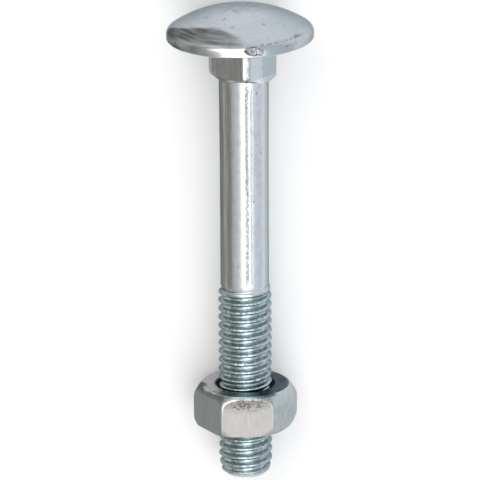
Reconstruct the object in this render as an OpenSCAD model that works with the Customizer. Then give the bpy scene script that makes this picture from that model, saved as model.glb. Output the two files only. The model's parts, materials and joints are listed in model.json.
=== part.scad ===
// Square-neck carriage bolt with a hexagon nut on its thread, lying as it comes to rest.
// Every piece is drawn upright on the bolt's own axis: z = 0 is the flat underside of the head,
// the crown is below it and the point above it. The two are then laid down together.
// Lengths are in millimetres.

/* [Head] */
// Diameter of the head across its rim
head_d = 16.24; // [14:0.02:20]
// Height of the head from its flat underside to the crown
head_h = 3.5; // [2.6:0.05:4.6]
// Height of the band round the rim, below the dome
rim_h = 0.95; // [0.5:0.05:1.4]
// Radius that rounds the dome into the rim band
rim_round = 0.8; // [0.2:0.05:1.2]
// Radius on the lower edge of the rim
seat_round = 0.15; // [0.05:0.05:0.3]
// Distance that the forged head sits to one side of the shank
head_offset = 0.38; // [0:0.02:0.6]

/* [Neck] */
// Width of the square neck across its flats
neck_w = 5.8; // [5.6:0.02:6.5]
// Width of the neck across its rounded corners
neck_corner_d = 7.42; // [7.2:0.02:7.9]
// Length of the corners from the head to where the cone cuts them off
neck_l = 4.15; // [3:0.05:6]
// Length over which the cone takes the corners down to the shank
neck_cone_l = 0.7; // [0.3:0.05:1.5]
// Distance that the neck sits to the same side as the head
neck_offset = 0.12; // [0:0.02:0.3]
// Angle by which the neck is turned from standing on a corner
neck_turn = -2.9; // [-45:0.1:45]

/* [Shank] */
// Diameter of the plain shank, rolled down to about the thread's middle
shank_d = 5.4; // [5.3:0.02:5.6]
// Diameter of the shank where it leaves the neck
swell_d = 5.54; // [5.4:0.02:5.7]
// Length over which the shank settles to its even diameter
swell_l = 12; // [4:0.5:18]
// Length of the bolt from under the head to the point
bolt_l = 50.6; // [46:0.1:60]

/* [Thread] */
// Diameter of the thread over its crests
thread_d = 5.91; // [5.8:0.01:6]
// Diameter of the thread at its roots
root_d = 4.78; // [4.7:0.01:5]
// Distance between turns
pitch = 1; // [0.75:0.05:1.25]
// Width of the flattened crest
crest_w = 0.14; // [0.08:0.01:0.2]
// Height by which the middle of the crest stands over its edges
crest_rise = 0.035; // [0:0.005:0.06]
// Length of the thread, measured from the point
thread_l = 22.2; // [18:0.1:26]
// Length over which the thread rises out of the shank
runout_l = 1.1; // [0.5:0.1:2]
// Angle round the axis at which a crest passes the start of the thread
thread_turn = 299; // [0:1:359]

/* [Point] */
// Diameter of the flat end
point_d = 4.3; // [3.6:0.05:4.6]
// Diameter of the bolt at the outer edge of the bevel
bevel_d = 5.34; // [5:0.02:5.6]
// Length of the bevel
bevel_l = 0.45; // [0.3:0.05:0.8]
// Length over which the last crests run down to the bevel
lead_l = 1.35; // [0.6:0.05:3]

/* [Nut] */
// Width of the nut across its flats
nut_w = 10; // [9.5:0.05:11]
// Height of the nut
nut_h = 4.7; // [4:0.05:6]
// Diameter of the round bearing face inside the chamfer of the near side
nut_face_d = 9.7; // [8.8:0.05:9.9]
// Diameter at which the chamfer of the far side starts, which only takes the tips off its corners
nut_foot_d = 10.9; // [9:0.05:11.4]
// Angle of both chamfers to the faces
nut_chamfer = 46; // [15:1:50]
// Diameter at the mouth of each countersink
sink_d = 6.6; // [6.4:0.05:7.2]
// Angle across each countersink
sink_angle = 110; // [80:5:130]
// Gap all round between the crests and the bore of the nut
bore_gap = 0.04; // [0.03:0.01:0.08]
// Distance from under the head to the near face of the nut
nut_at = 40.15; // [32:0.05:44]

/* [Hidden] */

// Smoothness of round faces in the preview
$fn = 96;
// How far a piece is sunk into the one that carries it, along the axis and under its skin
root_in = 1;
skin_in = 0.15;
// Flat sides round one turn of the thread
thread_sides = 24;
// Turns that the thread is drawn past each of its ends before it is cut
spare_turns = 2;
// How far the thread's first ring lies inside the edge of the shank
first_ring_in = 0.02;

head_r = head_d / 2;
dome_h = head_h - rim_h;
dome_r = (head_r * head_r + dome_h * dome_h) / (2 * dome_h);
// The centre of the dome's sphere, and that of the round between dome and band
dome_z = dome_r - head_h;
round_r = head_r - rim_round;
round_z = dome_z - sqrt(pow(dome_r - rim_round, 2) - round_r * round_r);
neck_end = neck_l + neck_cone_l;
thread_z = bolt_l - thread_l;
bevel_z = bolt_l - bevel_l;
bore_d = thread_d + 2 * bore_gap;
nut_corner_d = nut_w / cos(30);
// Depth of the far chamfer on the middle of a flat, where the nut stands on the floor
flat_drop = max(0, (nut_w - nut_foot_d) / 2) * tan(nut_chamfer);

// The bolt leans on the rounded edge of its head and on the far edge of the nut's lowest flat
touch_z = nut_at + nut_h - flat_drop;
rise = head_r - seat_round - nut_w / 2;
run = touch_z + seat_round;
lean = atan2(rise, run) + asin(seat_round / norm([rise, run]));
axis_height = nut_w / 2 * cos(lean) + touch_z * sin(lean);
// The two ends of the part along the floor, seen from the foot of the head's underside
far_x = bolt_l * cos(lean) + point_d / 2 * sin(lean);
near_x = dome_z * cos(lean) - dome_r;

// Lays a piece that is drawn upright on the axis down on the floor, middle over the origin
module lay_down() {
    translate([-(far_x + near_x) / 2, head_offset, axis_height])
        rotate([0, 90 + lean, 0])
            children();
}

// Half section of the head: radius across, height down the axis
module head_section() {
    // Where the round touches the dome
    reach = dome_r / (dome_r - rim_round);
    touch = [round_r * reach, dome_z + (round_z - dome_z) * reach];
    difference() {
        intersection() {
            translate([0, dome_z]) circle(r = dome_r);
            translate([0, -head_h]) square([head_r, head_h]);
        }
        difference() {
            polygon([touch, [head_r, touch[1]], [head_r, round_z], [round_r, round_z]]);
            translate([round_r, round_z]) circle(r = rim_round);
        }
        difference() {
            translate([head_r - seat_round, -seat_round]) square(seat_round);
            translate([head_r - seat_round, -seat_round]) circle(r = seat_round);
        }
    }
}

module head() {
    translate([0, -head_offset, 0]) rotate_extrude() head_section();
}

// Square with round corners. The cone that takes the corners off stands on the shank's own axis
module neck() {
    slope = (neck_corner_d - swell_d) / 2 / neck_cone_l;
    clear_r = neck_corner_d;
    under_r = swell_d / 2 - skin_in;
    intersection() {
        translate([0, -neck_offset, 0])
            rotate([0, 0, neck_turn])
                intersection() {
                    rotate([0, 0, 45])
                        translate([-neck_w / 2, -neck_w / 2, -root_in])
                            cube([neck_w, neck_w, neck_end + 2 * root_in]);
                    translate([0, 0, -2 * root_in])
                        cylinder(h = neck_end + 4 * root_in, d = neck_corner_d);
                }
        rotate_extrude()
            polygon([
                [0, -2 * root_in],
                [clear_r, -2 * root_in],
                [clear_r, neck_l - (clear_r - neck_corner_d / 2) / slope],
                [under_r, neck_end + skin_in / slope],
                [0, neck_end + skin_in / slope],
            ]);
    }
}

// Plain shank, from inside the neck to the start of the thread
module shank() {
    sunk_z = neck_l - root_in;
    translate([0, 0, sunk_z]) cylinder(h = swell_l, d1 = swell_d, d2 = shank_d);
    translate([0, 0, sunk_z + swell_l]) cylinder(h = thread_z - sunk_z - swell_l, d = shank_d);
}

// One turn of the thread's section: [how far up the turn, radius]
flank_w = (thread_d / 2 - crest_rise - root_d / 2) * tan(30);
turn_section = [
    [crest_w / 2 + flank_w, root_d / 2],
    [pitch - crest_w / 2 - flank_w, root_d / 2],
    [pitch - crest_w / 2, thread_d / 2 - crest_rise],
    [pitch, thread_d / 2],
    [pitch + crest_w / 2, thread_d / 2 - crest_rise],
];

// The thread rises out of the shank over the run-out: crests from its edge, roots down into it
function runout(z) = min(1, max(0, (z - thread_z) / runout_l));
function crest_limit(z) = shank_d / 2 - first_ring_in
    + (thread_d / 2 - shank_d / 2 + first_ring_in) * runout(z);
function root_limit(z) = shank_d / 2 - first_ring_in
    - (shank_d / 2 - first_ring_in - root_d / 2) * runout(z);

// Point j of the section line at side i, counted from below the start of the thread
function thread_point(i, j) =
    let (
        n = len(turn_section),
        p = turn_section[j % n],
        z_free = thread_z + pitch * (floor(j / n) - spare_turns + i / thread_sides) + p[0],
        z_last = bolt_l + pitch,
        z = min(z_last, max(thread_z, z_free)),
        r = z < z_last ? min(crest_limit(z), max(root_limit(z), p[1])) : root_d / 2,
        a = thread_turn + 360 * i / thread_sides
    )
    [r * cos(a), r * sin(a), z];

// Right-hand thread as one closed skin that follows the helix, from the shank to past the point
module thread_blank() {
    n = len(turn_section);
    turns = ceil(thread_l / pitch) + 2 * spare_turns;
    rows = n * turns;
    points = [for (i = [0:thread_sides - 1]) for (j = [0:rows - 1]) thread_point(i, j)];
    // The side after the last one is the first, one turn further on
    function at(i, j) = i < thread_sides ? i * rows + min(j, rows - 1) : min(j + n, rows - 1);
    skin = [
        for (i = [0:thread_sides - 1]) for (j = [0:rows - 2])
            for (t = [[at(i, j), at(i, j + 1), at(i + 1, j)], [at(i, j + 1), at(i + 1, j + 1), at(i + 1, j)]])
                if (points[t[0]] != points[t[1]] && points[t[1]] != points[t[2]] && points[t[2]] != points[t[0]])
                    t
    ];
    first = [for (i = [0:thread_sides - 1]) at(i, 0)];
    last = [for (i = [thread_sides - 1:-1:0]) at(i, rows - 1)];
    polyhedron(points = points, faces = concat(skin, [first, last]));
}

// The thread, with its last crests run down and its end bevelled
module thread() {
    slope = (thread_d - bevel_d) / 2 / lead_l;
    clear_r = thread_d;
    intersection() {
        thread_blank();
        rotate_extrude()
            polygon([
                [0, thread_z - root_in],
                [clear_r, thread_z - root_in],
                [clear_r, bevel_z - (clear_r - bevel_d / 2) / slope],
                [bevel_d / 2, bevel_z],
                [point_d / 2, bolt_l],
                [0, bolt_l],
            ]);
    }
}

module carriage_bolt() {
    color("gainsboro")
        lay_down() {
            head();
            neck();
            shank();
            thread();
        }
}

// Round blank with both chamfers, wider than the corners of the hexagon that is cut from it
module chamfer_blank() {
    past_corners = 0.3;
    blank_r = nut_corner_d / 2 + past_corners;
    near_h = (blank_r - nut_face_d / 2) * tan(nut_chamfer);
    far_h = (blank_r - nut_foot_d / 2) * tan(nut_chamfer);
    rotate_extrude()
        polygon([
            [0, 0],
            [nut_face_d / 2, 0],
            [blank_r, near_h],
            [blank_r, nut_h - far_h],
            [nut_foot_d / 2, nut_h],
            [0, nut_h],
        ]);
}

module hex_nut() {
    // How far each countersink goes in
    sink_h = (sink_d - bore_d) / 2 / tan(sink_angle / 2);
    through = 1;
    color("silver")
        lay_down()
            translate([0, 0, nut_at])
                difference() {
                    intersection() {
                        rotate([0, 0, 30]) cylinder(h = nut_h, d = nut_corner_d, $fn = 6);
                        chamfer_blank();
                    }
                    translate([0, 0, -through]) cylinder(h = nut_h + 2 * through, d = bore_d);
                    cylinder(h = sink_h, d1 = sink_d, d2 = bore_d);
                    translate([0, 0, nut_h - sink_h]) cylinder(h = sink_h, d1 = bore_d, d2 = sink_d);
                }
}

carriage_bolt();
hex_nut();
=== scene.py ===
import json
import math

import bmesh
import bpy
import numpy as np
from mathutils import Matrix, Vector, noise


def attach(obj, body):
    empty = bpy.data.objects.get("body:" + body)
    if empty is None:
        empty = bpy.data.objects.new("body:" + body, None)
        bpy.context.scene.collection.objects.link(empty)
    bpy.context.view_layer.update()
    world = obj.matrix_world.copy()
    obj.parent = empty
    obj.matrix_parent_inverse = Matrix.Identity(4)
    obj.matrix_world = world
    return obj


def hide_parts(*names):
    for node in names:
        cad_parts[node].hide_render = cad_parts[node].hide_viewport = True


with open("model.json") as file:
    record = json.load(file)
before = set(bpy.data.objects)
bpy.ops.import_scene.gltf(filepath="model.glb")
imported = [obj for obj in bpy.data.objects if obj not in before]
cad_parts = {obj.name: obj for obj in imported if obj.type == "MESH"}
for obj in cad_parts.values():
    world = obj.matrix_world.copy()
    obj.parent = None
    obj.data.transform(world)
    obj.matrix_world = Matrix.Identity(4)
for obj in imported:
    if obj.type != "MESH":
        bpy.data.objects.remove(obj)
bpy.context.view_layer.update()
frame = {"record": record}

# Carriage bolt. One piece of steel: a wire is headed cold, which leaves the low dome, the square neck
# and a head that sits a little to one side, and the thread is then rolled into the end of the shank.
# It is plated with bright zinc. Sizes are in millimetres, drawn upright with z = 0 under the head.
MM = 0.001
BOLT_LENGTH = 50.6
HEAD_RADIUS, HEAD_HEIGHT, RIM_BAND, RIM_ROUND, SEAT_ROUND = 8.12, 3.5, 0.95, 0.8, 0.15
HEAD_SHIFT, HEAD_TILT, HEAD_DROOP = -0.38, math.radians(0.7), 0.05
NECK_WIDTH, NECK_CORNER_RADIUS, NECK_SHIFT, NECK_TURN = 5.8, 3.71, -0.12, math.radians(-2.9)
NECK_STRAIGHT, NECK_END, NECK_FILLET = 4.15, 5.0, 0.22
NECK_CONE, CONE_SKEW, CONE_SHORTER_IN_FRONT, CONE_HIGHER_IN_FRONT = 0.7, 0.15, 0.4, 0.15
SHANK_RADIUS, SWELL_RADIUS, SWELL_FROM, SWELL_LENGTH = 2.7, 2.77, 3.15, 12.0
SHANK_UNEVEN = 0.0025
THREAD_START, PITCH, CREST_AT_TURN = 28.4, 1.0, 299 / 360
SOFT_EDGE = 0.035

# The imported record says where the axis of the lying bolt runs.
place = {mount["name"]: mount for mount in frame["record"]["mounts"]}
along = Vector(place["threaded_end"]["axis"])
under_head = Vector(place["threaded_end"]["pos_m"]) - along * BOLT_LENGTH * MM
LYING = Matrix.Translation(under_head) @ Matrix((
    (along.z, 0, along.x, 0),
    (0, 1, 0, 0),
    (-along.x, 0, along.z, 0),
    (0, 0, 0, 1),
)) @ Matrix.Scale(MM, 4)

# The front of the bolt, which lies uppermost, is at 180 degrees, and its left side is at 270.
BOLT_SIDES = 160
FRONT = math.pi
bolt_round = np.arange(BOLT_SIDES) * 2 * math.pi / BOLT_SIDES
from_front = (bolt_round - FRONT + math.pi) % (2 * math.pi) - math.pi


def ring(angles, radius, height, shift=0.0):
    """Points round the axis, at one height; shift moves the middle of the ring along y."""
    radius = np.broadcast_to(radius, angles.shape)
    return np.column_stack([
        radius * np.cos(angles),
        radius * np.sin(angles) + shift,
        np.broadcast_to(height, angles.shape),
    ])


def skin(name, rings):
    """A skin of quads through rings that run up the axis. A ring of one point is a pole."""
    starts = np.cumsum([0] + [len(r) for r in rings])
    sides = max(len(r) for r in rings)
    faces = []
    for lower, upper, a, b in zip(rings, rings[1:], starts, starts[1:]):
        for i in range(sides):
            j = (i + 1) % sides
            if len(lower) == 1:
                faces.append((a, b + j, b + i))
            elif len(upper) == 1:
                faces.append((a + i, a + j, b))
            else:
                faces.append((a + i, a + j, b + j, b + i))
    mesh = bpy.data.meshes.new(name)
    mesh.from_pydata(np.concatenate(rings).tolist(), [], faces)
    return mesh


def soft_min(soft, *values):
    """The smallest of the values, rounded where two of them meet."""
    least = np.minimum.reduce(np.broadcast_arrays(*values))
    return least - soft * np.log(sum(np.exp((least - v) / soft) for v in values))


def soft_max(soft, *values):
    """The largest of the values, rounded where two of them meet."""
    return -soft_min(soft, *[-np.asarray(v, float) for v in values])


def smooth_step(low, high, value):
    """0 below low, 1 above high, and a smooth rise from one to the other."""
    share = np.clip((value - low) / (high - low), 0, 1)
    return share * share * (3 - 2 * share)


def between(value, begins, full, fades, ends):
    """1 from full to fades, and a smooth fall to 0 at begins and at ends."""
    return smooth_step(begins, full, value) * (1 - smooth_step(fades, ends, value))


def arc(out, up, radius, begins, ends, steps):
    """A round of the head's section: radius, height, and the way that the skin faces there."""
    return [(out + radius * math.sin(angle), up - radius * math.cos(angle), angle)
            for angle in np.linspace(begins, ends, steps)[1:]]


# Section of the head: the dome, the round of the rim, the band of the rim and the edge of the seat.
dome_rise = HEAD_HEIGHT - RIM_BAND
dome_radius = (HEAD_RADIUS ** 2 + dome_rise ** 2) / (2 * dome_rise)
dome_middle = dome_radius - HEAD_HEIGHT
round_out = HEAD_RADIUS - RIM_ROUND
round_up = dome_middle - math.sqrt((dome_radius - RIM_ROUND) ** 2 - round_out ** 2)
touch_angle = math.asin(round_out / (dome_radius - RIM_ROUND))
head_section = [
    *arc(0, dome_middle, dome_radius, 0, touch_angle, steps=56),
    *arc(round_out, round_up, RIM_ROUND, touch_angle, math.pi / 2, steps=13),
    *[(HEAD_RADIUS, height, math.pi / 2) for height in np.linspace(round_up, -SEAT_ROUND, 9)[1:]],
    *arc(HEAD_RADIUS - SEAT_ROUND, -SEAT_ROUND, SEAT_ROUND, math.pi / 2, math.pi, steps=6),
]

UNEVEN, FINELY_UNEVEN = 0.006, 0.0022
RIPPLE_DEPTH, RIPPLE_STEP, RIPPLE_WANDER = 0.014, 0.78, 0.55
CREASE_OUT, CREASE_WIDTH, CREASE_DEPTH = 7.6, 0.09, 0.009
RUBBED_AT, RUBBED_HALF, RUBBED_DEPTH = math.radians(8), math.radians(10), 0.085
NICK_AT, NICK_HEIGHT, NICK_LEAN = math.radians(8.6), -0.7, 0.2
NICK_HALF_WIDTH, NICK_HALF_HEIGHT, NICK_DEPTH, NICK_TORN, NICK_RAGGED = 1.05, 0.48, 0.12, 0.05, 0.12


def noise_round(turned, along_axis, seed):
    """Noise from -1 to 1 at each side of the bolt."""
    return np.array([noise.noise(Vector((turn, along_axis, seed))) for turn in turned])


def head_dent(radius, height):
    """How far the skin of the head lies below its true shape: ripples, a crease and a nick."""
    dent = np.zeros(BOLT_SIDES)
    for i, angle in enumerate(bolt_round):
        spot = Vector((radius * math.cos(angle), radius * math.sin(angle), height))
        dent[i] = UNEVEN * noise.noise(spot * 0.45)
        dent[i] += FINELY_UNEVEN * noise.noise(spot * 1.7 + Vector((9, 4, 2)))
    # Ripples, where the metal flowed round the left shoulder
    left = from_front
    wander = noise_round(left * 2.2, 3.7, 0.4)
    rippled = between(left, 0.02, 0.35, 1.75, 2.15) * between(radius, 4.9, 5.6, 7.4, 7.9)
    dent += RIPPLE_DEPTH * rippled * np.sin(2 * math.pi * (radius + RIPPLE_WANDER * wander) / RIPPLE_STEP)
    # Crease between the dome and the rim, to the right of the nick
    crease = np.exp(-((radius - CREASE_OUT - 0.12 * wander) / CREASE_WIDTH) ** 2)
    dent += CREASE_DEPTH * crease * between(-left, 0.3, 0.5, 0.95, 1.3)
    # The rim is rubbed almost flat beside the nick
    rubbed = np.clip(1 - ((left - RUBBED_AT) / RUBBED_HALF) ** 2, 0, 1)
    dent += RUBBED_DEPTH * rubbed * smooth_step(7.3, 7.9, radius)
    # Nick in the band of the rim, a little right of the front
    across = (left + NICK_AT) * HEAD_RADIUS / NICK_HALF_WIDTH
    up = (height - NICK_HEIGHT) / NICK_HALF_HEIGHT
    ragged = NICK_RAGGED * noise_round(left * 26, height * 2.4, 1.7)
    inside = 1 - smooth_step(0.55, 1.0, np.hypot(across, up + NICK_LEAN * across) + ragged)
    torn = NICK_DEPTH + NICK_TORN * noise_round(left * 19, height * 4.1, 5.2)
    dent += torn * smooth_step(6.9, 7.5, radius) * inside
    return dent


def tilt_head(points):
    """The head sits a little askew on its shank, and its front edge is drawn down."""
    tilted = points.copy()
    tilted[:, 2] -= (points[:, 1] - HEAD_SHIFT) * math.tan(HEAD_TILT)
    tilted[:, 2] += HEAD_DROOP * np.maximum(-points[:, 0], 0) / HEAD_RADIUS
    return tilted


# The last ring of the section is the edge of the flat seat, which has no dents
blank = [np.array([[0, HEAD_SHIFT, -HEAD_HEIGHT]])]
for radius, height, facing in head_section:
    dent = head_dent(radius, height) if facing < math.pi else 0
    blank.append(tilt_head(
        ring(bolt_round, radius - dent * math.sin(facing), height + dent * math.cos(facing), HEAD_SHIFT)))


def neck_radius(height):
    """Radius of the square neck round the axis of the shank, with its corners cut off by the cone."""
    flats = []
    for quarter in range(4):
        facing = NECK_TURN + math.pi / 4 + quarter * math.pi / 2
        # A flat doesn't cut the far side of the bolt, so its reach there is made long
        slant = np.maximum(np.cos(bolt_round - facing), 0.05)
        flats.append((NECK_WIDTH / 2 + NECK_SHIFT * math.sin(facing)) / slant)
    corner = NECK_SHIFT * np.sin(bolt_round) + np.sqrt(
        NECK_CORNER_RADIUS ** 2 - (NECK_SHIFT * np.cos(bolt_round)) ** 2)
    front = np.clip(-np.cos(bolt_round), 0, 1) ** 3
    cone_length = NECK_CONE * (1 - CONE_SHORTER_IN_FRONT * front)
    foot = NECK_STRAIGHT - CONE_HIGHER_IN_FRONT * front + CONE_SKEW * (np.sin(bolt_round) - 0.3) + cone_length
    cone = SWELL_RADIUS + (NECK_CORNER_RADIUS - SWELL_RADIUS) * (foot - height) / cone_length
    return soft_min(SOFT_EDGE, *flats, corner, cone)


def shank_radius(height):
    """Radius of the shank, which is a little thicker where it leaves the neck."""
    return float(np.interp(height, [SWELL_FROM, SWELL_FROM + SWELL_LENGTH], [SWELL_RADIUS, SHANK_RADIUS]))


# The rings of the neck lie close together over its fillet and its cone, and wider apart between them
for height in [*np.linspace(0, NECK_FILLET, 6), *np.linspace(0.4, 3.9, 12), *np.linspace(4, NECK_END, 21)]:
    lift = max(0, 1 - height / NECK_FILLET)
    fillet = NECK_FILLET * (1 - math.sqrt(1 - lift * lift))
    radius = soft_max(SOFT_EDGE, neck_radius(height), shank_radius(height)) + fillet
    if height == 0:
        outer = tilt_head(ring(bolt_round, HEAD_RADIUS - SEAT_ROUND, 0, HEAD_SHIFT))
        inner = ring(bolt_round, radius, 0)
        blank += [outer + (inner - outer) * share for share in np.linspace(0, 1, 9)[1:]]
    else:
        blank.append(ring(bolt_round, radius, height))
# The drawn shank is never quite even, apart from the last ring, which meets the thread
for height in np.linspace(NECK_END, THREAD_START, 60)[1:]:
    uneven = 0.0 if height == THREAD_START else SHANK_UNEVEN
    radius = shank_radius(height) + uneven * np.array([
        noise.noise(Vector((math.cos(a), math.sin(a), height * 0.35))) for a in bolt_round])
    blank.append(ring(bolt_round, radius, height))

# The thread is rolled to the helix: a grid of rows that climb by one pitch in a turn.
FLOAT, WHOLE, SHAPE, FINISH = "NodeSocketFloat", "NodeSocketInt", "NodeSocketGeometry", "NodeSocketMaterial"
SECTION_INPUTS = [
    ("Sides", WHOLE), ("Rows in a turn", WHOLE), ("Turns", WHOLE), ("Pitch", FLOAT), ("Start", FLOAT),
    ("End", FLOAT), ("Crest at turn", FLOAT), ("Root radius", FLOAT), ("Crest radius", FLOAT),
    ("Crest share", FLOAT), ("Root share", FLOAT)]
ROWS_IN_A_TURN = 14
JOIN_GAP = 0.0001


def new_tree(name, kind, inputs, outputs):
    """A node tree with named sockets. Returns it, its input node's outputs and its output node's inputs."""
    tree = bpy.data.node_groups.new(name, kind)
    for label, socket in inputs:
        tree.interface.new_socket(name=label, in_out="INPUT", socket_type=socket)
    for label, socket in outputs:
        tree.interface.new_socket(name=label, in_out="OUTPUT", socket_type=socket)
    return tree, tree.nodes.new("NodeGroupInput").outputs, tree.nodes.new("NodeGroupOutput").inputs


def put(tree, kind, *values, **settings):
    """Adds a node. Each value goes to an input in turn: a socket is linked to it, a number is set on it."""
    made = tree.nodes.new(kind)
    for name, value in settings.items():
        setattr(made, name, value)
    for socket, value in zip(made.inputs, values):
        if isinstance(value, bpy.types.NodeSocket):
            tree.links.new(value, socket)
        elif value is not None:
            socket.default_value = value
    return made


def calc(tree, operation, *values):
    """One step of arithmetic."""
    return put(tree, "ShaderNodeMath", *values, operation=operation).outputs[0]


def times(tree, product, *values):
    """The product of all the values."""
    for value in values:
        product = calc(tree, "MULTIPLY", product, value)
    return product


def ramp_up(tree, value, low, high, bottom=0.0, top=1.0):
    """Bottom below low, top above high, and a straight line from one to the other."""
    return put(tree, "ShaderNodeMapRange", value, low, high, bottom, top).outputs[0]


def grain(tree, point, scale, detail):
    """Noise from 0 to 1. A scale of three numbers stretches it along the axes."""
    if isinstance(scale, tuple):
        point = put(tree, "ShaderNodeVectorMath", point, scale, operation="MULTIPLY").outputs[0]
        scale = 1.0
    return put(tree, "ShaderNodeTexNoise", point, None, scale, detail).outputs[0]


def round_axis(tree, angle, radius, height):
    """The point at an angle, a radius and a height on the axis."""
    return put(tree, "ShaderNodeCombineXYZ", times(tree, radius, calc(tree, "COSINE", angle)),
               times(tree, radius, calc(tree, "SINE", angle)), height).outputs[0]


def helical_section():
    """Grid for a thread. It gives each point's angle, height and radius, and how far it is past the end."""
    tree, given, result = new_tree(
        "helical_section", "GeometryNodeTree", SECTION_INPUTS,
        [("Grid", SHAPE), ("Angle", FLOAT), ("Height", FLOAT), ("Past end", FLOAT), ("Radius", FLOAT)])
    rows = times(tree, given["Turns"], given["Rows in a turn"])
    grid = put(tree, "GeometryNodeMeshGrid", 1.0, 1.0,
               calc(tree, "ADD", given["Sides"], 1), calc(tree, "ADD", rows, 1))
    spot = put(tree, "ShaderNodeSeparateXYZ", tree.nodes.new("GeometryNodeInputPosition").outputs[0]).outputs
    column = calc(tree, "ROUND", times(tree, calc(tree, "ADD", spot[0], 0.5), given["Sides"]))
    row = calc(tree, "ROUND", times(tree, calc(tree, "ADD", spot[1], 0.5), rows))
    turned = calc(tree, "DIVIDE", column, given["Sides"])
    # One turn of rows lies before the start, so that the start is met all the way round
    phase = calc(tree, "SUBTRACT", calc(tree, "DIVIDE", row, given["Rows in a turn"]), 1.0)
    climbed = calc(tree, "SUBTRACT", calc(tree, "ADD", phase, turned), given["Crest at turn"])
    free = calc(tree, "MULTIPLY_ADD", climbed, given["Pitch"], given["Start"])
    height = calc(tree, "MINIMUM", calc(tree, "MAXIMUM", free, given["Start"]), given["End"])
    past = calc(tree, "DIVIDE", calc(tree, "SUBTRACT", free, given["End"]), given["Pitch"])
    # How far from the crest, folded to 0 at the crest and 0.5 at the root
    from_crest = calc(tree, "PINGPONG", phase, 0.5)
    flank = ramp_up(tree, from_crest, times(tree, given["Crest share"], 0.5),
                    calc(tree, "SUBTRACT", 0.5, times(tree, given["Root share"], 0.5)), 1.0, 0.0)
    # The flank is straight, and it runs into the root and the crest with a small round
    shape = put(tree, "ShaderNodeFloatCurve", 1.0, flank)
    for across, up in ((0.12, 0.08), (0.88, 0.93)):
        shape.mapping.curves[0].points.new(across, up)
    shape.mapping.update()
    depth = calc(tree, "SUBTRACT", given["Crest radius"], given["Root radius"])
    radius = calc(tree, "MULTIPLY_ADD", shape.outputs[0], depth, given["Root radius"])
    for socket, value in zip(result, (
            grid.outputs[0], times(tree, turned, 2 * math.pi), height,
            calc(tree, "MINIMUM", calc(tree, "MAXIMUM", past, 0.0), 1.0), radius)):
        tree.links.new(value, socket)
    return tree


section_tree = helical_section()


def use_section(tree, given):
    """Puts the helical section into a tree whose inputs have the same names."""
    section = tree.nodes.new("GeometryNodeGroup")
    section.node_tree = section_tree
    for label, _ in SECTION_INPUTS:
        tree.links.new(given[label], section.inputs[label])
    return section.outputs


def finish_thread(tree, section, radius, height, given, result):
    """Bends the grid to its radius, closes its seam and gives it its material."""
    spot = round_axis(tree, section["Angle"], radius, height)
    bent = put(tree, "GeometryNodeSetPosition", section["Grid"], None, spot).outputs[0]
    closed = tree.nodes.new("GeometryNodeMergeByDistance")
    closed.inputs["Distance"].default_value = JOIN_GAP
    tree.links.new(bent, closed.inputs["Geometry"])
    smooth = put(tree, "GeometryNodeSetShadeSmooth", closed.outputs[0]).outputs[0]
    real = put(tree, "GeometryNodeRealizeInstances", smooth).outputs[0]
    painted = tree.nodes.new("GeometryNodeSetMaterial")
    tree.links.new(real, painted.inputs["Geometry"])
    tree.links.new(given["Material"], painted.inputs["Material"])
    tree.links.new(painted.outputs[0], result[0])


def straight(tree, at, from_at, from_value, to_at, to_value):
    """A value that runs on in a straight line through two given ones."""
    return put(tree, "ShaderNodeMapRange", at, from_at, to_at, from_value, to_value, clamp=False).outputs[0]


rolling, given, result = new_tree(
    "rolled_thread", "GeometryNodeTree",
    [("Geometry", SHAPE), *SECTION_INPUTS, ("Shank radius", FLOAT), ("Run-out", FLOAT), ("Lead", FLOAT),
     ("Bevel length", FLOAT), ("Bevel radius", FLOAT), ("Point radius", FLOAT), ("Dish", FLOAT),
     ("Ding depth", FLOAT), ("Material", FINISH)],
    [("Geometry", SHAPE)])
section = use_section(rolling, given)
rising = ramp_up(rolling, section["Height"], given["Start"],
                 calc(rolling, "ADD", given["Start"], given["Run-out"]))


def rise_to(socket):
    """A radius that rises out of the shank over the length of the run-out."""
    above = calc(rolling, "SUBTRACT", socket, given["Shank radius"])
    return calc(rolling, "MULTIPLY_ADD", rising, above, given["Shank radius"])


# The crests run down towards the point over the lead, and faster over the bevel
height = section["Height"]
bevel_at = calc(rolling, "SUBTRACT", given["End"], given["Bevel length"])
lead_at = calc(rolling, "SUBTRACT", bevel_at, given["Lead"])
lead = straight(rolling, height, lead_at, given["Crest radius"], bevel_at, given["Bevel radius"])
bevel = straight(rolling, height, bevel_at, given["Bevel radius"], given["End"], given["Point radius"])
# Dings, where the crests have knocked against other bolts
around = round_axis(rolling, section["Angle"], 3.0, height)
knocked = ramp_up(rolling, grain(rolling, around, scale=1.6, detail=3), 0.56, 0.7)
ding = times(rolling, knocked, given["Ding depth"], rising)
dinged = calc(rolling, "SUBTRACT", given["Crest radius"], ding)
thread_radius = calc(rolling, "MAXIMUM", section["Radius"], rise_to(given["Root radius"]))
for limit in (rise_to(given["Crest radius"]), lead, bevel, dinged):
    thread_radius = calc(rolling, "MINIMUM", thread_radius, limit)
# Past the end the rows close in on the axis, and make the dished end face
left_over = calc(rolling, "SUBTRACT", 1.0, section["Past end"])
dished = times(rolling, given["Dish"], calc(rolling, "SMOOTH_MIN", section["Past end"], 0.5, 0.5))
finish_thread(rolling, section, times(rolling, thread_radius, left_over),
              calc(rolling, "SUBTRACT", height, dished), given, result)


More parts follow.
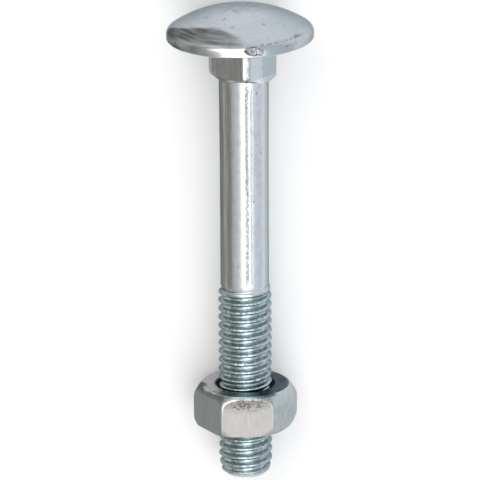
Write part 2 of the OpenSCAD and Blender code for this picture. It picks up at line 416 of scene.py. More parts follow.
def grow(name, tree, **sizes):
    """Runs a tree on an empty object and returns what it makes as a plain mesh."""
    holder = bpy.data.objects.new(name, bpy.data.meshes.new(name))
    bpy.context.scene.collection.objects.link(holder)
    modifier = holder.modifiers.new(name, "NODES")
    modifier.node_group = tree
    for socket in tree.interface.items_tree:
        label = socket.name.lower().replace(" ", "_").replace("-", "_")
        if socket.in_out == "INPUT" and label in sizes:
            modifier[socket.identifier] = sizes[label]
    ready = holder.evaluated_get(bpy.context.evaluated_depsgraph_get())
    mesh = bpy.data.meshes.new_from_object(ready)
    bpy.data.objects.remove(holder)
    return mesh


def weld(name, material, marks, *meshes):
    """One closed piece from skins whose edges meet, with its worn places and its painted light and shade
    marked, laid down in its place.
    """
    shell = bmesh.new()
    for mesh in meshes:
        shell.from_mesh(mesh)
    bmesh.ops.remove_doubles(shell, verts=shell.verts, dist=JOIN_GAP)
    bmesh.ops.recalc_face_normals(shell, faces=shell.faces)
    for face in shell.faces:
        face.smooth = True
        face.material_index = 0
    whole = bpy.data.meshes.new(name)
    shell.to_mesh(whole)
    shell.free()
    points = np.empty(len(whole.vertices) * 3)
    whole.vertices.foreach_get("co", points)
    for label, values in marks(points.reshape(-1, 3)).items():
        written = whole.attributes.new(label, "FLOAT", "POINT")
        written.data.foreach_set("value", np.clip(values, 0, 1).astype(np.float32))
    whole.transform(LYING)
    whole.materials.append(material)
    piece = bpy.data.objects.new(name, whole)
    bpy.context.scene.collection.objects.link(piece)
    return piece


# Zinc plate, a node group that both pieces use, and the material that holds it
PAINT, VECTOR = "NodeSocketColor", "NodeSocketVector"
SCRATCH_DEPTH = 0.02
TURN_UPRIGHT = math.pi / 2 + math.asin(-along.z)


def patches(tree, point, scale, detail, low, high, bottom=0.0, top=1.0):
    """Noise with its contrast raised, so that it stands in patches."""
    return ramp_up(tree, grain(tree, point, scale, detail), low, high, bottom, top)


def blend_colour(tree, share, first, second):
    """The first colour, with a share of the second laid over it."""
    other_kinds = [None] * 5
    return put(tree, "ShaderNodeMix", share, *other_kinds, first, second, data_type="RGBA").outputs[2]


def blend_value(tree, share, first, second):
    """The first value, moved by a share towards the second."""
    return put(tree, "ShaderNodeMix", share, None, first, second).outputs[0]


def lay_on(tree, colour, share, shade):
    """A colour with a share of one plain shade laid over it."""
    return blend_colour(tree, share, colour, (*shade, 1))


def mark(tree, label, strength=None):
    """A mark that the mesh carries at its points, made weaker by strength."""
    carried = put(tree, "ShaderNodeAttribute", attribute_name=label).outputs["Fac"]
    return carried if strength is None else times(tree, carried, strength)


def zinc_plate():
    """Zinc over steel: mottled tint, streaks along the axis, painted shade, dark specks and fine scratches.
    """
    tree, given, result = new_tree(
        "zinc_plate", "ShaderNodeTree",
        [("Point", VECTOR), ("Bright", PAINT), ("Dull", PAINT), ("Stained", PAINT), ("Mottle", FLOAT),
         ("Streaks", FLOAT), ("Stain", FLOAT), ("Specks", FLOAT), ("Roughness", FLOAT)],
        [("Color", PAINT), ("Roughness", FLOAT), ("Height", FLOAT)])
    point = given["Point"]
    fine = grain(tree, point, scale=9, detail=4)
    drawn = grain(tree, point, scale=(5.5, 5.5, 0.22), detail=3)
    scratched = grain(tree, point, scale=(30, 30, 1.4), detail=2)
    mottled = times(tree, patches(tree, point, scale=1.1, detail=5, low=0.35, high=0.65), given["Mottle"])
    share = calc(tree, "MULTIPLY_ADD", calc(tree, "SUBTRACT", drawn, 0.5), given["Streaks"], mottled)
    colour = blend_colour(tree, share, given["Bright"], given["Dull"])
    # The more streaked the plate is, the more its painted shade is broken into streaks
    unbroken = calc(tree, "MULTIPLY_ADD", given["Streaks"], -0.25, 1.0)
    broken = times(tree, given["Stain"], ramp_up(tree, drawn, 0.3, 0.62, unbroken, 1.0))
    colour = blend_colour(tree, broken, colour, given["Stained"])
    specks = ramp_up(tree, fine, 0.66, 0.72)
    lightness = calc(tree, "SUBTRACT", 1.0, times(tree, specks, given["Specks"]))
    specked = put(tree, "ShaderNodeVectorMath", colour, None, None, lightness, operation="SCALE").outputs[0]
    tree.links.new(specked, result["Color"])
    rough = calc(tree, "MULTIPLY_ADD", calc(tree, "SUBTRACT", fine, 0.5), 0.2, given["Roughness"])
    tree.links.new(rough, result["Roughness"])
    tree.links.new(calc(tree, "ADD", fine, scratched), result["Height"])
    return tree


zinc_tree = zinc_plate()


def zinc_material(name, edge_tint, bump, **plating):
    """A material with the zinc plate in it. Returns it with its tree, shader, upright point and plate."""
    material = bpy.data.materials.new(name)
    material.use_nodes = True
    tree = material.node_tree
    shader = tree.nodes["Principled BSDF"]
    shader.inputs["Metallic"].default_value = 1.0
    shader.inputs["Specular Tint"].default_value = (*edge_tint, 1)
    # The patterns are drawn in millimetres on the upright bolt
    upright = put(tree, "ShaderNodeMapping", tree.nodes.new("ShaderNodeTexCoord").outputs["Object"],
                  under_head, (0, TURN_UPRIGHT, 0), (MM, MM, MM), vector_type="TEXTURE").outputs[0]
    plate = put(tree, "ShaderNodeGroup", upright, node_tree=zinc_tree)
    for label, value in plating.items():
        plate.inputs[label.capitalize()].default_value = (*value, 1) if isinstance(value, tuple) else value
    # The mesh carries where the plate has painted shade
    tree.links.new(mark(tree, "stain"), plate.inputs["Stain"])
    tree.links.new(plate.outputs["Roughness"], shader.inputs["Roughness"])
    relief = tree.nodes.new("ShaderNodeBump")
    relief.inputs["Strength"].default_value = bump
    relief.inputs["Distance"].default_value = SCRATCH_DEPTH * MM
    tree.links.new(plate.outputs["Height"], relief.inputs["Height"])
    tree.links.new(relief.outputs[0], shader.inputs["Normal"])
    return material, tree, shader, upright, plate.outputs


def drawn_line():
    """A thin line that the rolling leaves along the shank, uneven in width."""
    tree, given, result = new_tree(
        "drawn_line", "ShaderNodeTree",
        [("Point", VECTOR), ("At angle", FLOAT), ("Width", FLOAT), ("Wobble", FLOAT), ("From", FLOAT),
         ("To", FLOAT), ("Gaps", FLOAT)],
        [("Mask", FLOAT)])
    spot = put(tree, "ShaderNodeSeparateXYZ", given["Point"]).outputs
    turned = calc(tree, "ARCTAN2", spot[1], times(tree, spot[0], -1.0))
    jagged = calc(tree, "SUBTRACT", grain(tree, given["Point"], scale=(0.3, 0.3, 6.0), detail=4), 0.5)
    aside = calc(tree, "SUBTRACT", turned, given["At angle"])
    off = calc(tree, "ABSOLUTE", calc(tree, "MULTIPLY_ADD", jagged, given["Wobble"], aside))
    line = ramp_up(tree, off, times(tree, given["Width"], 0.5), given["Width"], 1.0, 0.0)
    starts = ramp_up(tree, spot[2], given["From"], calc(tree, "ADD", given["From"], 0.4))
    stops = ramp_up(tree, spot[2], calc(tree, "SUBTRACT", given["To"], 0.8), given["To"], 1.0, 0.0)
    broken = patches(tree, given["Point"], scale=(11, 11, 6.5), detail=3, low=0.35, high=0.53,
                     bottom=calc(tree, "SUBTRACT", 1.0, given["Gaps"]))
    tree.links.new(times(tree, line, times(tree, starts, stops), broken), result["Mask"])
    return tree


def length(tree, along_x, along_y):
    """The length of a line from its two parts."""
    return calc(tree, "SQRT", calc(tree, "ADD", times(tree, along_x, along_x), times(tree, along_y, along_y)))


def round_head_tree():
    """Unrolls the head, so that marks run round it, and measures how far a point is from the nick."""
    tree, given, result = new_tree(
        "round_head", "ShaderNodeTree", [("Point", VECTOR), ("Head shift", FLOAT)],
        [("Unrolled", VECTOR), ("From nick", FLOAT)])
    spot = put(tree, "ShaderNodeSeparateXYZ", given["Point"]).outputs
    sideways = calc(tree, "SUBTRACT", given["Head shift"], spot[1])
    turned = calc(tree, "ARCTAN2", sideways, times(tree, spot[0], -1.0))
    out = length(tree, spot[0], sideways)
    unrolled = put(tree, "ShaderNodeCombineXYZ", times(tree, out, 2.4), times(tree, turned, 2.2),
                   times(tree, spot[2], 1.6)).outputs[0]
    across = times(tree, calc(tree, "ADD", turned, NICK_AT), HEAD_RADIUS / NICK_HALF_WIDTH)
    above = times(tree, calc(tree, "SUBTRACT", spot[2], NICK_HEIGHT + HEAD_DROOP), 1 / NICK_HALF_HEIGHT)
    leaning = calc(tree, "MULTIPLY_ADD", across, NICK_LEAN, above)
    tree.links.new(unrolled, result["Unrolled"])
    tree.links.new(length(tree, across, leaning), result["From nick"])
    return tree


def cloud(points, scale, seed):
    """Soft noise from 0 to 1 at each point."""
    away = Vector((seed * 7.3, seed * 3.1, seed * 5.7))
    return np.array([0.5 + 0.5 * noise.noise(Vector(p) * scale + away) for p in points.tolist()])


# The painted shade wedge on the head's left shoulder: where it begins out from the middle, and how dark it
# is, by degrees to the left of the front
WEDGE_TOP = ([-12, -4, 0, 4, 9, 13, 19, 23, 35, 39, 50, 62, 72, 85, 100],
             [7.6, 7.2, 6.9, 6.4, 6.1, 5.9, 5.6, 5.45, 5.3, 5.4, 5.65, 6.1, 6.6, 7.2, 8.1])
WEDGE_DEPTH = ([-6, -2, 4, 10, 17, 28, 35, 50, 62], [0, 0.06, 0.38, 0.6, 0.75, 0.86, 0.93, 0.98, 1])
# Painted shade on the rim at the left shoulder, by degrees to the left of the front
DARK_RIM = ([28, 36, 41, 47, 55, 62], [0, 0.18, 0.42, 0.6, 0.85, 1])
# Small pits in the dome: degrees to the left of the front, and how far out
HEAD_PITS = ((-108, 5.45), (-30, 4.83), (31, 3.51), (-50, 7.5), (-54, 7.45), (12, 5.0), (64, 4.1))
PIT_RADIUS = 0.15


def bolt_marks(points):
    """Where the bolt carries painted shade, painted reflections and painted highlights, and where it is
    grooved, scuffed, rubbed and marked by the forging.

    Angles are in degrees to the left of the front, and lengths in millimetres.
    """
    x, y, z = points.T
    left = np.degrees(np.arctan2(-y, -x))
    out = np.hypot(x, y)
    off_point = 1 - smooth_step(BOLT_LENGTH - 0.5, BOLT_LENGTH - 0.3, z)
    threaded = smooth_step(THREAD_START + 0.3, THREAD_START + 0.9, z) * off_point
    groove = between(z, THREAD_START + 0.1, THREAD_START + 1.4, BOLT_LENGTH - 0.75, BOLT_LENGTH - 0.45)
    groove *= 1 - smooth_step(2.8, 2.93, out)
    # Painted shade on the left of the neck, the shank and the thread, and a painted cool reflection on their
    # right
    on_neck = z < NECK_STRAIGHT
    side = np.where(on_neck, 0.68 * smooth_step(1, 5, left),
                    0.88 * smooth_step(21, 49, left) + 0.12 * smooth_step(50, 66, left))
    side *= (1 - smooth_step(140, 172, left)) * smooth_step(0.02, 0.1, z) * off_point
    right = np.where(on_neck, 0.5 * smooth_step(3, 9, -left) + 0.5 * smooth_step(42, 48, -left),
                     0.75 * smooth_step(36, 60, -left))
    right *= (1 - smooth_step(150, 174, -left)) * (z > 0.05) * off_point
    # The head is measured from its own middle, with its tilt and droop taken out
    head_left = np.degrees(np.arctan2(HEAD_SHIFT - y, -x))
    head_out = np.hypot(x, y - HEAD_SHIFT)
    head_z = z + (y - HEAD_SHIFT) * math.tan(HEAD_TILT) - HEAD_DROOP * np.maximum(-x, 0) / HEAD_RADIUS
    on_head = head_z < -0.5 * SEAT_ROUND
    wander = cloud(np.column_stack([head_left / 24, head_out * 0.2, head_out * 0]), scale=1.0, seed=2) - 0.5
    # Left shoulder of the head: painted shade in a wedge between the dome and the rim and on the rim beside
    # it, with paler flow lines in it
    ripple = 0.5 + 0.5 * np.sin(2 * math.pi * (head_out + 1.1 * wander) / 0.52)
    wedge = smooth_step(-0.2, 0.3, head_out - np.interp(head_left, *WEDGE_TOP))
    wedge *= np.interp(head_left, *WEDGE_DEPTH) * (0.9 + 0.1 * ripple)
    rim = np.interp(head_left + 5 * wander, *DARK_RIM)
    rim_from = np.interp(head_left, [15, 40], [7.4, 7.72])
    to_rim = smooth_step(rim_from, rim_from + 0.26, head_out)
    shoulder = (wedge * (1 - to_rim) + rim * to_rim) * (1 - smooth_step(84, 100, head_left))
    # Dome grey, laid on less towards the middle, so that the crown is painted lighter where it mirrors the
    # shadowed floor
    dome_tone_lit_crown = on_head * (0.35 + 0.65 * smooth_step(1.5, 5.5, head_out))
    scuffed = on_head * (1 - smooth_step(0.4, 3.3, np.hypot(x + 0.2, (y - HEAD_SHIFT) * 0.75)))
    # Painted shade along the crease between the dome and the rim
    crease = on_head * np.exp(-((head_out - CREASE_OUT - 0.06 - 0.3 * wander) / 0.1) ** 2)
    crease *= between(head_left, -66, -56, -16, -8)
    band = on_head * smooth_step(6.9, 7.3, head_out)
    # The front of the rim is rubbed, and a painted highlight lies on it, further round near the dome than at
    # the seat
    rub_end = 14 + 7 * np.clip(-head_z / RIM_BAND, 0, 1)
    rubbed = on_head * smooth_step(7.7, 7.95, head_out) * smooth_step(-3, -0.5, head_left) * (
        1 - smooth_step(rub_end, rub_end + 16, head_left + 14 * wander))
    pits = np.zeros(len(points))
    for angle, away in HEAD_PITS:
        spot = (-away * math.cos(math.radians(angle)), HEAD_SHIFT - away * math.sin(math.radians(angle)))
        pits += on_head * np.exp(-((x - spot[0]) ** 2 + (y - spot[1]) ** 2) / PIT_RADIUS ** 2)
    return {"stain": np.where(on_head, 0, side), "shoulder": np.where(on_head, shoulder, 0), "blue": right,
            "groove": groove, "threaded": threaded, "head": dome_tone_lit_crown, "scuffed": scuffed, "crease": crease,
            "band": band, "rubbed": rubbed, "pits": pits}


DOME_GREY, SHOULDER_SHADE, COOL_REFLECTION = (0.41, 0.455, 0.475), (0.1, 0.097, 0.088), (0.38, 0.445, 0.468)
SCUFF_GREY, ARC_GREY, POCK_GREY = (0.27, 0.3, 0.33), (0.24, 0.27, 0.3), (0.16, 0.17, 0.18)
SEAM_DARK, SEAM_GREY, SEAM_YELLOW = (0.05, 0.05, 0.048), (0.17, 0.17, 0.16), (0.56, 0.54, 0.41)
RUBBED_HIGHLIGHT, PIT_DARK, CREASE_SHADE = (0.92, 0.92, 0.92), (0.06, 0.07, 0.09), (0.08, 0.08, 0.08)
TORN_DARK, TORN_BRIGHT, LIP_DARK = (0.16, 0.16, 0.16), (0.55, 0.56, 0.57), (0.06, 0.06, 0.06)
GROOVE_GREEN_SHADE, GROOVE_SHADE_BLUE, CREST_DULL = (0.42, 0.54, 0.54), (0.12, 0.16, 0.21), (0.28, 0.35, 0.36)
TORN_ROUGHNESS = 0.45

# The seam, as thin lines along the shank: shade, strength, angle, width and wobble in radians, where it
# begins and ends along the axis, and how open its gaps are
SEAM_LINES = (
    (SEAM_GREY, 0.78, 0.07, 0.125, 0.08, 4.6, THREAD_START, 0.8),
    (SEAM_DARK, 0.68, 0.055, 0.06, 0.22, 0.3, 17.0, 0.8),
    (SEAM_DARK, 0.5, 0.08, 0.07, 0.24, 16.4, THREAD_START, 0.9),
    (SEAM_YELLOW, 0.7, 0.19, 0.045, 0.06, 6.0, 19.0, 0.8),
    (SEAM_GREY, 0.75, 0.24, 0.05, 0.08, 5.0, THREAD_START, 0.7),
    (SEAM_GREY, 0.35, -0.62, 0.05, 0.25, 5.0, THREAD_START, 1.0),
)

bolt_zinc, tree, shader, upright, zinc = zinc_material(
    "bright_zinc", edge_tint=(0.46, 0.5, 0.53), bump=0.25, bright=(0.70, 0.74, 0.78), dull=(0.52, 0.56, 0.6),
    stained=(0.16, 0.152, 0.13), mottle=0.35, streaks=0.9, specks=0.45, roughness=0.22)
round_head = put(tree, "ShaderNodeGroup", upright, HEAD_SHIFT, node_tree=round_head_tree()).outputs
# The dome's grey, with its crown painted lighter
colour = lay_on(tree, zinc["Color"], mark(tree, "head", 0.75), DOME_GREY)
unrolled = round_head["Unrolled"]
flow = patches(tree, unrolled, scale=1.0, detail=5, low=0.38, high=0.58, bottom=0.7, top=1.08)
# Painted shade on the left shoulder, broken by paler flow lines
colour = lay_on(tree, colour, times(tree, mark(tree, "shoulder"), flow), SHOULDER_SHADE)
# Painted cool reflection on the right of the neck, the shank and the thread
colour = lay_on(tree, colour, mark(tree, "blue"), COOL_REFLECTION)
# Scuffs on top of the dome, and fine arcs round it, where it has rubbed against others
scuffs = patches(tree, upright, scale=(4.5, 1.6, 2.0), detail=6, low=0.49, high=0.6, top=0.85)
colour = lay_on(tree, colour, times(tree, mark(tree, "scuffed"), scuffs), SCUFF_GREY)
arcs = patches(tree, unrolled, scale=(1.9, 0.6, 0.6), detail=7, low=0.56, high=0.64, top=0.17)
colour = lay_on(tree, colour, times(tree, mark(tree, "head"), arcs), ARC_GREY)
line_tree = drawn_line()
for shade, strength, *values in SEAM_LINES:
    line = put(tree, "ShaderNodeGroup", upright, *values, node_tree=line_tree).outputs[0]
    colour = lay_on(tree, colour, times(tree, line, strength), shade)
pocks = patches(tree, upright, scale=1.9, detail=7, low=0.665, high=0.70, top=0.55)
colour = lay_on(tree, colour, pocks, POCK_GREY)
# Painted highlight on the rubbed front of the rim
colour = lay_on(tree, colour, mark(tree, "rubbed", 0.8), RUBBED_HIGHLIGHT)
colour = lay_on(tree, colour, mark(tree, "pits", 0.7), PIT_DARK)
# Painted shade along the crease, broken into patches
broken_up = patches(tree, upright, scale=3.2, detail=6, low=0.44, high=0.58)
colour = lay_on(tree, colour, times(tree, mark(tree, "crease"), broken_up, 0.8), CREASE_SHADE)
# The nick: torn metal inside, and a dark ragged lip
ragged = calc(tree, "MULTIPLY_ADD", grain(tree, upright, scale=3.4, detail=5), 0.9, -0.45)
off_nick = calc(tree, "ADD", round_head["From nick"], ragged)
crumpled = patches(tree, upright, scale=6, detail=5, low=0.44, high=0.58)
torn = blend_colour(tree, crumpled, (*TORN_DARK, 1), (*TORN_BRIGHT, 1))
in_nick = times(tree, mark(tree, "band"), ramp_up(tree, off_nick, 0.85, 0.95, 1.0, 0.0))
colour = blend_colour(tree, in_nick, colour, torn)
lip_shade = patches(tree, upright, scale=1.9, detail=3, low=0.4, high=0.58, bottom=0.25)
lip = times(tree, ramp_up(tree, off_nick, 0.66, 0.88), ramp_up(tree, off_nick, 0.98, 1.15, 1.0, 0.0),
            lip_shade, mark(tree, "band"))
colour = lay_on(tree, colour, lip, LIP_DARK)
tree.links.new(blend_value(tree, in_nick, zinc["Roughness"], TORN_ROUGHNESS), shader.inputs["Roughness"])
# The thread: a green tint with painted shade in its groove, patches of painted shade there on the right, and
# its crests dulled in patches
colour = lay_on(tree, colour, mark(tree, "groove", 0.75), GROOVE_GREEN_SHADE)
groove_shade_patches = patches(tree, upright, scale=1.6, detail=5, low=0.47, high=0.6, top=0.9)
colour = lay_on(tree, colour, times(tree, mark(tree, "groove"), mark(tree, "blue"), groove_shade_patches), GROOVE_SHADE_BLUE)
dulled = patches(tree, upright, scale=(2.3, 2.3, 3.2), detail=6, low=0.42, high=0.58, bottom=0.05, top=0.75)
colour = lay_on(tree, colour, times(tree, mark(tree, "threaded"), dulled), CREST_DULL)
tree.links.new(colour, shader.inputs["Base Color"])
thread_mesh = grow(
    "rolled_thread", rolling, sides=BOLT_SIDES, rows_in_a_turn=ROWS_IN_A_TURN, turns=26, pitch=PITCH,
    start=THREAD_START, end=BOLT_LENGTH, crest_at_turn=CREST_AT_TURN, root_radius=2.39, crest_radius=2.955,
    crest_share=0.12, root_share=0.26, shank_radius=SHANK_RADIUS, run_out=1.1, lead=1.35, bevel_length=0.45,
    bevel_radius=2.67, point_radius=2.15, dish=0.25, ding_depth=0.14, material=bolt_zinc)
bolt = weld("bolt", bolt_zinc, bolt_marks, skin("blank", blank), thread_mesh)
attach(bolt, "bolt")
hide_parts("carriage_bolt")

# Hexagon nut. Cut from hexagon bar, countersunk at both ends and tapped. Its near face is chamfered to
# a round, and the chamfer on its far face only takes the tips off the corners. Its zinc is duller and
# warmer than the bolt's, and it has been turned up the thread by hand.
NUT_AT, NUT_HEIGHT, NUT_APOTHEM, NUT_FACE_RADIUS = 40.15, 4.7, 5.0, 4.96
NUT_FOOT_RADIUS, NUT_FOOT_SHIFT = 5.22, 0.2
NUT_CHAMFER, NUT_CORNER_ROUND, NUT_EDGE_ROUND = math.radians(49), 0.16, 0.07
NEAR_WEAR, FAR_WEAR, CORNER_WEAR = 0.15, 0.04, 0.17
NUT_MOUTH_RADIUS, NUT_SINK_SPREAD = 3.3, math.tan(math.radians(55))
NUT_SIDES = 360
nut_round = np.arange(NUT_SIDES) * 2 * math.pi / NUT_SIDES

# Radius of the hexagon with its upright edges rounded
from_flat = (nut_round + math.pi / 6) % (math.pi / 3) - math.pi / 6
to_corner = math.pi / 6 - np.abs(from_flat)
corner_middle = (NUT_APOTHEM - NUT_CORNER_ROUND) / math.cos(math.pi / 6)
flat_reach = NUT_APOTHEM / np.cos(from_flat)
corner_reach = corner_middle * np.cos(to_corner) + np.sqrt(
    np.maximum(NUT_CORNER_ROUND ** 2 - (corner_middle * np.sin(to_corner)) ** 2, 0))
touch = math.atan2((NUT_APOTHEM - NUT_CORNER_ROUND) * math.tan(math.pi / 6), NUT_APOTHEM)
hexagon = np.where(np.abs(from_flat) > touch, corner_reach, flat_reach)


def nut_side(face_radius, worn):
    """Rings from a countersink's mouth out over one face and its chamfer, with the edges worn round.

    Each ring is its depth below the face and its radius.
    """
    soft = worn + (CORNER_WEAR - worn) * smooth_step(-0.16, 0.0, -to_corner)
    face_reach = soft_min(soft, hexagon, face_radius) - 0.06 - NUT_MOUTH_RADIUS
    rings = [(0, NUT_MOUTH_RADIUS + face_reach * share) for share in np.linspace(0, 1, 8)]
    # The rings lie closest together over the worn edge
    for depth in [0.015, *np.arange(0.035, 0.35, 0.03), *np.arange(0.35, 1.25, 0.045)]:
        lift = max(0, 1 - depth / NUT_EDGE_ROUND)
        inset = NUT_EDGE_ROUND * (1 - math.sqrt(1 - lift * lift))
        chamfer = face_radius + depth / math.tan(NUT_CHAMFER)
        rings.append((depth, soft_min(soft, hexagon, chamfer) - 0.5 * inset))
    return rings


near_side = nut_side(NUT_FACE_RADIUS, NEAR_WEAR)
# The far chamfer was cut off centre, so it takes more off the corners on the right
far_side = nut_side(NUT_FOOT_RADIUS - NUT_FOOT_SHIFT * np.sin(nut_round), FAR_WEAR)
near_face = [ring(nut_round, radius, NUT_AT + depth) for depth, radius in near_side]
far_face = [ring(nut_round, radius, NUT_AT + NUT_HEIGHT - depth) for depth, radius in far_side[::-1]]
middle = [ring(nut_round, hexagon, NUT_AT + depth) for depth in np.linspace(1.4, NUT_HEIGHT - 1.4, 8)]

tapping, given, result = new_tree(
    "tapped_thread", "GeometryNodeTree",
    [("Geometry", SHAPE), *SECTION_INPUTS, ("Mouth radius", FLOAT), ("Mouth spread", FLOAT),
     ("Material", FINISH)],
    [("Geometry", SHAPE)])
section = use_section(tapping, given)
bore_radius = section["Radius"]
for depth in (calc(tapping, "SUBTRACT", section["Height"], given["Start"]),
              calc(tapping, "SUBTRACT", given["End"], section["Height"])):
    sink = calc(tapping, "SUBTRACT", given["Mouth radius"], times(tapping, depth, given["Mouth spread"]))
    bore_radius = calc(tapping, "MAXIMUM", bore_radius, sink)
finish_thread(tapping, section, bore_radius, section["Height"], given, result)


def nut_marks(points):
    """Where the nut has painted shade and painted reflections, a painted highlight along its front flat,
    painted shade in its mouth, and old oil.

    Angles are in degrees to the left of the front, and lengths in millimetres.
    """
    x, y, z = points.T
    left = np.degrees(np.arctan2(-y, -x))
    out = np.hypot(x, y)
    depth = z - NUT_AT
    outside = smooth_step(3.25, 3.4, out) * (1 - smooth_step(NUT_HEIGHT - 0.06, NUT_HEIGHT - 0.01, depth))
    off_face = outside * smooth_step(0.02, 0.12, depth)
    # Painted shade on the flats at the left, and a painted cool reflection on those at the right, darker
    # further from the near face
    stain = off_face * between(left, 29, 31, 150, 175)
    blue = off_face * between(-left, 29, 31, 150, 175) * (0.6 + 0.4 * smooth_step(0.4, 2.2, depth))
    # The front flat, with its upper corners worn round, and the painted highlight line that runs along its
    # edge
    off_middle = np.radians(np.abs((left + 30) % 60 - 30))
    arris = (NUT_APOTHEM / np.cos(off_middle) - NUT_FACE_RADIUS) * math.tan(NUT_CHAMFER)
    below = depth - soft_max(0.1, arris, 0.33)
    inset = soft_min(0.3, NUT_APOTHEM * math.tan(math.pi / 6) - np.abs(y), below)
    front = (np.abs(left) < 30.5) * outside
    matte = front * smooth_step(-0.02, 0.08, inset)
    from_top = smooth_step(0.4, 0.9, below)
    top_edge = (1 - from_top) * (0.1 + 0.9 * smooth_step(9, 21, left))
    side_edge = from_top * (0.3 + 0.7 * smooth_step(-22, 2, left))
    edge = front * np.exp(-(inset / 0.07) ** 2) * (top_edge + side_edge)
    # Painted shade over the top of the front flat
    scuffed = front * between(depth, 0.02, 0.1, 0.5, 1.9)
    in_middle = 1 - 0.75 * smooth_step(1.2, 2.3, np.abs(y + 0.1))
    specked = front * between(depth, 0.12, 0.3, 0.9, 2.1) * in_middle
    # The near face, with the edge worn over it: polished in front and on the right, with a painted teal
    # reflection in front and a painted dark reflection on the right
    face = (1 - smooth_step(0.005, 0.03, depth)) * (1 - smooth_step(4.82, 4.94, out)) * outside
    rolled_edge = (1 - smooth_step(0.16, 0.28, depth)) * outside * between(left, -46, -34, 24, 36)
    face = np.maximum(face, rolled_edge)
    polished = face * (1 - 0.85 * smooth_step(25, 60, left)) * (1 - 0.85 * smooth_step(120, 175, -left))
    darkened = face * between(-left, 4, 26, 125, 165)
    # Painted shade in the mouth, and old oil in smudges on the chamfer at the left and on the near face at
    # the right
    mouth = 1 - smooth_step(3.3, 3.42, out)
    chamfer = smooth_step(4.1, 4.6, out) * (1 - smooth_step(0.35, 0.9, depth)) * (depth < 1)
    smudge_left = chamfer * (0.5 * smooth_step(20, 30, left) + 0.5 * smooth_step(52, 64, left)) * (
        1 - smooth_step(90, 104, left))
    smudge_right = face * between(out, 3.7, 3.95, 4.45, 4.7) * between(-left, 80, 88, 104, 114) * (
        0.5 + 0.5 * smooth_step(0.4, 0.52, cloud(points, scale=1.6, seed=3)))
    return {"stain": stain, "blue": blue, "matte": matte, "edge": edge, "scuffed": scuffed,
            "specked": specked, "polished": polished, "darkened": darkened, "smudge": smudge_left,
            "oil": mouth + 0.85 * smudge_right}


POLISHED_REFLECTION_TEAL, DARK_REFLECTION_TEAL, COOL_FLAT_REFLECTION = (0.29, 0.41, 0.43), (0.065, 0.1, 0.12), (0.34, 0.405, 0.43)
BRUSHED_LOW, BRUSHED_HIGH, EDGE_HIGHLIGHT = (0.46, 0.445, 0.43), (0.54, 0.52, 0.505), (0.85, 0.85, 0.84)
TOP_SHADE_GREY, SPECK_DARK = (0.22, 0.225, 0.225), (0.1, 0.1, 0.1)
OLD_OIL, SHADE_AND_OIL_BLACK = (0.07, 0.06, 0.055), (0.03, 0.035, 0.045)
MATTE_ROUGHNESS, GLOSSY_ROUGHNESS = 0.62, 0.08

nut_zinc, tree, shader, upright, zinc = zinc_material(
    "worn_zinc", edge_tint=(0.6, 0.62, 0.64), bump=0.5, bright=(0.68, 0.685, 0.68), dull=(0.5, 0.505, 0.5),
    stained=(0.215, 0.235, 0.228), mottle=0.4, streaks=0.3, specks=0.5, roughness=0.42)
# Painted reflections on the polished near face: teal in front, dark on the right
colour = lay_on(tree, zinc["Color"], mark(tree, "polished", 0.85), POLISHED_REFLECTION_TEAL)
colour = lay_on(tree, colour, mark(tree, "darkened", 0.95), DARK_REFLECTION_TEAL)
blotched = patches(tree, upright, scale=(1.6, 1.6, 0.8), detail=4, low=0.38, high=0.62, bottom=0.6, top=0.9)
# Painted cool reflection on the right flats, in blotches
colour = lay_on(tree, colour, times(tree, mark(tree, "blue"), blotched), COOL_FLAT_REFLECTION)
brushed = patches(tree, upright, scale=(7, 7, 0.5), detail=3, low=0.35, high=0.65)
front_flat = blend_colour(tree, brushed, (*BRUSHED_LOW, 1), (*BRUSHED_HIGH, 1))
colour = blend_colour(tree, mark(tree, "matte"), colour, front_flat)
# Painted shade over the top of the front flat
colour = lay_on(tree, colour, mark(tree, "scuffed", 0.55), TOP_SHADE_GREY)
specks = patches(tree, upright, scale=4.5, detail=7, low=0.48, high=0.57, top=0.85)
colour = lay_on(tree, colour, times(tree, mark(tree, "specked"), specks), SPECK_DARK)
# Painted highlight along the worn edges of the front flat
colour = lay_on(tree, colour, mark(tree, "edge"), EDGE_HIGHLIGHT)
smears = patches(tree, upright, scale=1.1, detail=6, low=0.36, high=0.58, top=0.95)
colour = lay_on(tree, colour, times(tree, mark(tree, "smudge"), smears), OLD_OIL)
# Painted shade in the mouth, and old oil on the near face at the right
colour = lay_on(tree, colour, mark(tree, "oil"), SHADE_AND_OIL_BLACK)
tree.links.new(colour, shader.inputs["Base Color"])
glossy = calc(tree, "MAXIMUM", mark(tree, "polished"), mark(tree, "edge"))
rough = blend_value(tree, mark(tree, "matte"), zinc["Roughness"], MATTE_ROUGHNESS)
tree.links.new(blend_value(tree, glossy, rough, GLOSSY_ROUGHNESS), shader.inputs["Roughness"])
# Where the bolt's crest passes the start of the bore, as a share of a turn
crest_turn = (CREST_AT_TURN - (THREAD_START - NUT_AT) / PITCH) % 1.0
bore_mesh = grow(
    "tapped_thread", tapping, sides=NUT_SIDES, rows_in_a_turn=ROWS_IN_A_TURN, turns=8, pitch=PITCH,
    start=NUT_AT, end=NUT_AT + NUT_HEIGHT, crest_at_turn=crest_turn, root_radius=2.52, crest_radius=3.01,
    crest_share=0.125, root_share=0.25, mouth_radius=NUT_MOUTH_RADIUS, mouth_spread=NUT_SINK_SPREAD,
    material=nut_zinc)
nut = weld("nut", nut_zinc, nut_marks, skin("nut_outside", near_face + middle + far_face), bore_mesh)
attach(nut, "nut")
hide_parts("hex_nut")

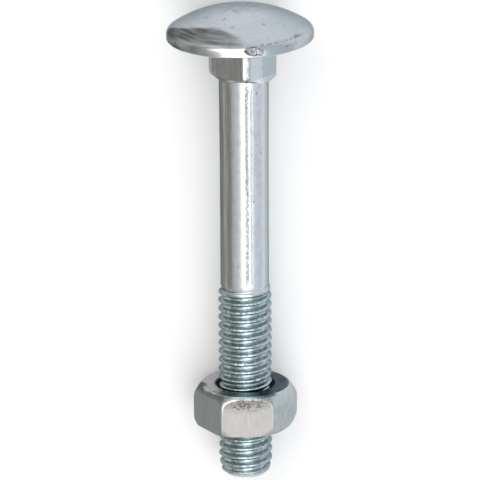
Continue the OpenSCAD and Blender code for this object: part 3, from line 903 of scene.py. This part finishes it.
# Floor. One plain pale sheet with a matt face, far wider than the bolt, so that its edges are out of
# sight. The bolt rests on it on the rim of its head and on one edge of its nut.
FLOOR_SIZE = 3.0
half = FLOOR_SIZE / 2
floor_mesh = bpy.data.meshes.new("floor")
floor_mesh.from_pydata([(-half, -half, 0), (half, -half, 0), (half, half, 0), (-half, half, 0)], [],
                       [(0, 1, 2, 3)])
floor = bpy.data.objects.new("floor", floor_mesh)
bpy.context.scene.collection.objects.link(floor)
floor_paint = bpy.data.materials.new("pale_floor")
floor_paint.use_nodes = True
matt = floor_paint.node_tree.nodes["Principled BSDF"].inputs
matt["Base Color"].default_value = (0.9, 0.9, 0.9, 1)
matt["Roughness"].default_value = 0.9
floor_mesh.materials.append(floor_paint)

# Camera. A long lens, 0.8 m away, which looks down on the bolt from the side of its head. It is rolled
# so that the bolt stands upright in the picture, with the head at the top.
SIGHT_DISTANCE = 0.799
SIGHT_FROM_SQUARE, SIGHT_TURN, SIGHT_ROLL = math.radians(18.3), math.radians(-2.4), math.radians(0.3)
SIGHT_POINT, SIGHT_PIXEL = 25.0, (244.6, 253.5)
FOCAL_PIXELS, IMAGE_SIZE, SENSOR_WIDTH = 7213.0, 480.0, 36.0
up = Vector((-along.z, 0, along.x))
side = Vector((0, 1, 0))
square_on = math.cos(SIGHT_TURN) * up + math.sin(SIGHT_TURN) * side
to_camera = math.cos(SIGHT_FROM_SQUARE) * square_on - math.sin(SIGHT_FROM_SQUARE) * along
eye = under_head + along * SIGHT_POINT * MM + to_camera * SIGHT_DISTANCE
image_up = (-along - to_camera * to_camera.dot(-along)).normalized()
image_right = image_up.cross(to_camera).normalized()
rolled_up = math.cos(SIGHT_ROLL) * image_up + math.sin(SIGHT_ROLL) * image_right
aside = (SIGHT_PIXEL[0] - IMAGE_SIZE / 2) / FOCAL_PIXELS
above = (IMAGE_SIZE / 2 - SIGHT_PIXEL[1]) / FOCAL_PIXELS
back = (to_camera + image_right * aside + image_up * above).normalized()
right = rolled_up.cross(back).normalized()
lens = bpy.data.cameras.new("camera")
lens.sensor_width = SENSOR_WIDTH
lens.lens = FOCAL_PIXELS * SENSOR_WIDTH / IMAGE_SIZE
camera = bpy.data.objects.new("camera", lens)
bpy.context.scene.collection.objects.link(camera)
camera.matrix_world = Matrix.Translation(eye) @ Matrix((right, back.cross(right), back)).transposed().to_4x4()
bpy.context.scene.camera = camera


# Light. A long soft box over the bolt draws the bright line down the shank, and a smaller one beyond
# the head fills in from the left. The metal mirrors the room round them, which is warm and darker on
# the left, white overhead and cool on the right.
def lamp(name, centre, size, power):
    """A soft box at a place, turned to face the bolt."""
    light = bpy.data.lights.new(name, "AREA")
    light.shape = "RECTANGLE"
    light.size, light.size_y = size
    light.energy = power
    box = bpy.data.objects.new(name, light)
    facing = (-Vector(centre)).to_track_quat("-Z", "Y")
    box.matrix_world = Matrix.Translation(centre) @ facing.to_matrix().to_4x4()
    bpy.context.scene.collection.objects.link(box)


lamp("long_box", centre=(0.22, 0.10, 1.0), size=(0.8, 1.1), power=4.2)
lamp("head_box", centre=(-0.62, -0.4, 0.85), size=(0.9, 0.7), power=2.6)

# The room's colours, by degrees from straight overhead, with the left below 0
ROOM = [
    (-180, (0.46, 0.44, 0.41)), (-86, (0.46, 0.44, 0.41)), (-68, (0.56, 0.545, 0.52)),
    (-42, (0.62, 0.61, 0.59)), (-20, (0.85, 0.85, 0.85)), (5, (1, 1, 1)), (32, (0.84, 0.86, 0.88)),
    (60, (0.74, 0.77, 0.81)), (180, (0.5, 0.56, 0.62))]
world = bpy.data.worlds.new("studio")
bpy.context.scene.world = world
world.use_nodes = True
sky = world.node_tree
seen = put(sky, "ShaderNodeSeparateXYZ", sky.nodes.new("ShaderNodeTexCoord").outputs["Generated"]).outputs
from_overhead = calc(sky, "ARCTAN2", seen[1], seen[2])
ramp = put(sky, "ShaderNodeValToRGB", ramp_up(sky, from_overhead, -math.pi, math.pi))
elements = ramp.color_ramp.elements
while len(elements) < len(ROOM):
    elements.new(0.5)
for element, (degrees, shade) in zip(elements, ROOM):
    element.position = degrees / 360 + 0.5
    element.color = (*shade, 1)
sky.links.new(ramp.outputs[0], sky.nodes["Background"].inputs[0])
sky.nodes["Background"].inputs[1].default_value = 1.0

bpy.context.scene.view_settings.view_transform = "Standard"
